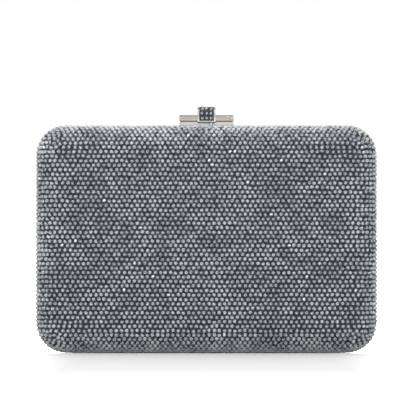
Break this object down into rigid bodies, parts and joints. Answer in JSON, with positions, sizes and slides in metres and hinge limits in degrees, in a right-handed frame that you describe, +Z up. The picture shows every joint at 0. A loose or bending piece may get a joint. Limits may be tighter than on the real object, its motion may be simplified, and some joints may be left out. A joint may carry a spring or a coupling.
{
  "type": "minaudiere",
  "caption": "Slim hard clutch of two crystal-covered half shells, hinged along the base and closed at the top by a stone-set slider on a bar.",
  "frame": {"origin": "centre of the base, in the seam between the halves, on the surface that the closed case stands on", "axes": "+X along the width, to the right seen from the front; -Y out of the front face; +Z up, towards the clasp"},
  "size_m": [0.165, 0.035, 0.1195],
  "materials": {
    "crystal_smoke": "foil-backed faceted crystals, smoky grey",
    "crystal_pale": "foil-backed faceted crystals, pale grey",
    "crystal_blue": "foil-backed faceted crystals, blue-grey",
    "crystal_bed": "dark lacquered bed between the crystals",
    "brass_shell": "pressed brass, dull inside",
    "rim_nickel": "polished nickel plate",
    "clasp_nickel": "polished nickel plate, slightly warm",
    "lining_leather": "metallic pewter leather, fine grain",
    "hinge_steel": "plated steel, fine brushed",
    "fastener_steel": "plated steel",
    "spring_wire": "bright spring wire",
    "black_setting": "black plated setting",
    "dark_stone": "dark faceted stones"
  },
  "bodies": {
    "back_half": {"back_crystals": "crystal_smoke", "back_shell": "brass_shell", "back_frame": "rim_nickel", "guide_lip": "rim_nickel", "back_lining": "lining_leather", "back_hinge_leaf": "hinge_steel", "hinge_pin": "fastener_steel", "back_hinge_rivets": "fastener_steel", "back_clasp_plate": "clasp_nickel", "clasp_bar": "clasp_nickel", "bar_end_caps": "clasp_nickel", "cap_pins": "clasp_nickel", "clasp_screws": "fastener_steel", "latch_screws": "fastener_steel", "latch_housing": "rim_nickel", "lock_spring": "spring_wire", "return_spring": "spring_wire"},
    "front_half": {"front_crystals": "crystal_smoke", "front_shell": "brass_shell", "front_frame": "rim_nickel", "front_lining": "lining_leather", "front_hinge_leaf": "hinge_steel", "front_hinge_rivets": "fastener_steel", "front_clasp_plate": "clasp_nickel", "front_plate_rivets": "fastener_steel", "locating_post": "clasp_nickel", "catch_bracket": "rim_nickel", "catch_peg": "clasp_nickel", "bracket_rivets": "fastener_steel"},
    "slider": {"slider_core": "clasp_nickel", "slider_cheeks": "clasp_nickel", "slider_setting": "black_setting", "slider_stones": "dark_stone", "slider_tongue": "fastener_steel"}
  },
  "joints": [
    {"name": "lid_hinge", "type": "hinge", "parent": "back_half", "child": "front_half", "pos_m": [0, 0, 0.0015], "axis": [1, 0, 0], "range_deg": [0, 80]},
    {"name": "slider_slide", "type": "slide", "parent": "back_half", "child": "slider", "axis": [1, 0, 0], "range_m": [0, 0.004], "stiffness_N_per_m": 250, "deforming": ["lock_spring", "return_spring"]}
  ]
}
